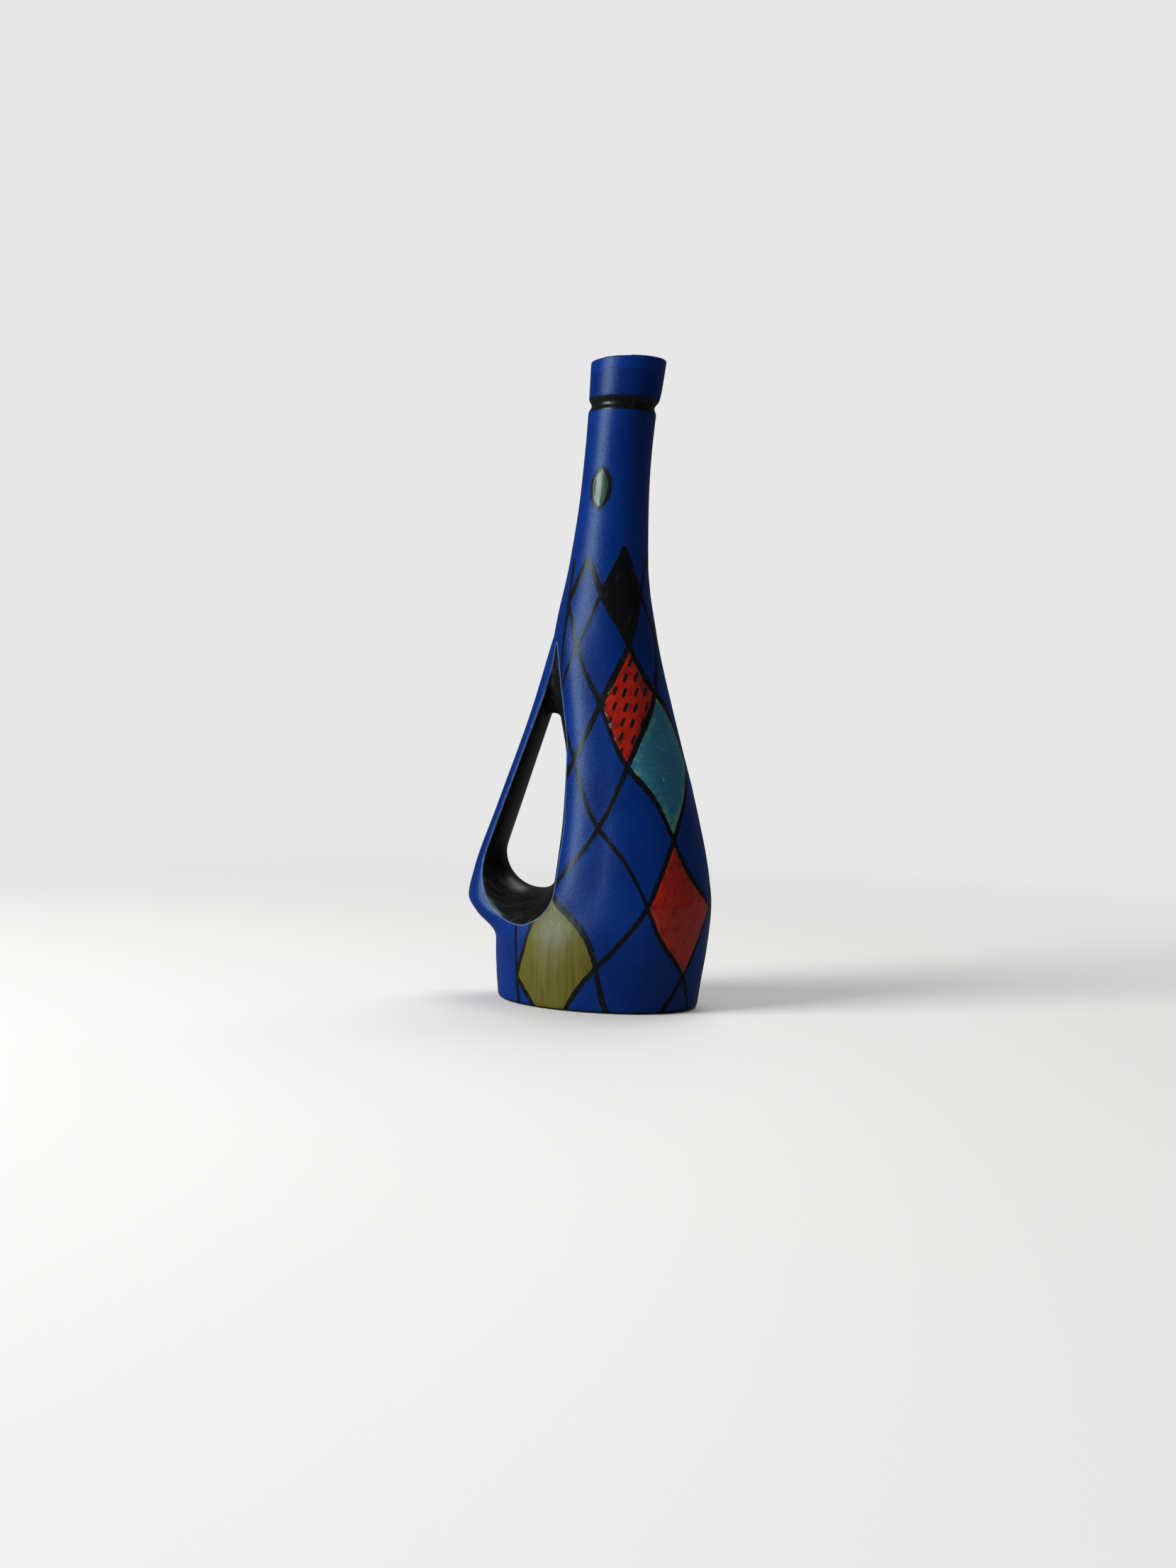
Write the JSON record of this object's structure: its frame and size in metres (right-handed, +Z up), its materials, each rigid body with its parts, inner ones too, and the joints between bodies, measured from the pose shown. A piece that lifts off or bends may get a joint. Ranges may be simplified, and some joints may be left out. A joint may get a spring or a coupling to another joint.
{
  "type": "jug",
  "caption": "Tall glazed jug with a leaning oval body, slender neck, flared pouring mouth and a pierced strap handle.",
  "frame": {"origin": "centre of the jug's length and width at the flat underside of its foot rim", "axes": "+X towards the pouring lip, handle at -X, +Z up, mirrored across the XZ plane"},
  "size_m": [0.1292, 0.083, 0.329],
  "materials": {
    "foot": "matte",
    "belly": "satin",
    "shoulder": "satin",
    "neck": "satin",
    "collar": "satin",
    "handle": "satin"
  },
  "bodies": {
    "root": {"foot": "foot", "belly": "belly", "shoulder": "shoulder", "neck": "neck", "collar": "collar", "handle": "handle"}
  },
  "joints": []
}
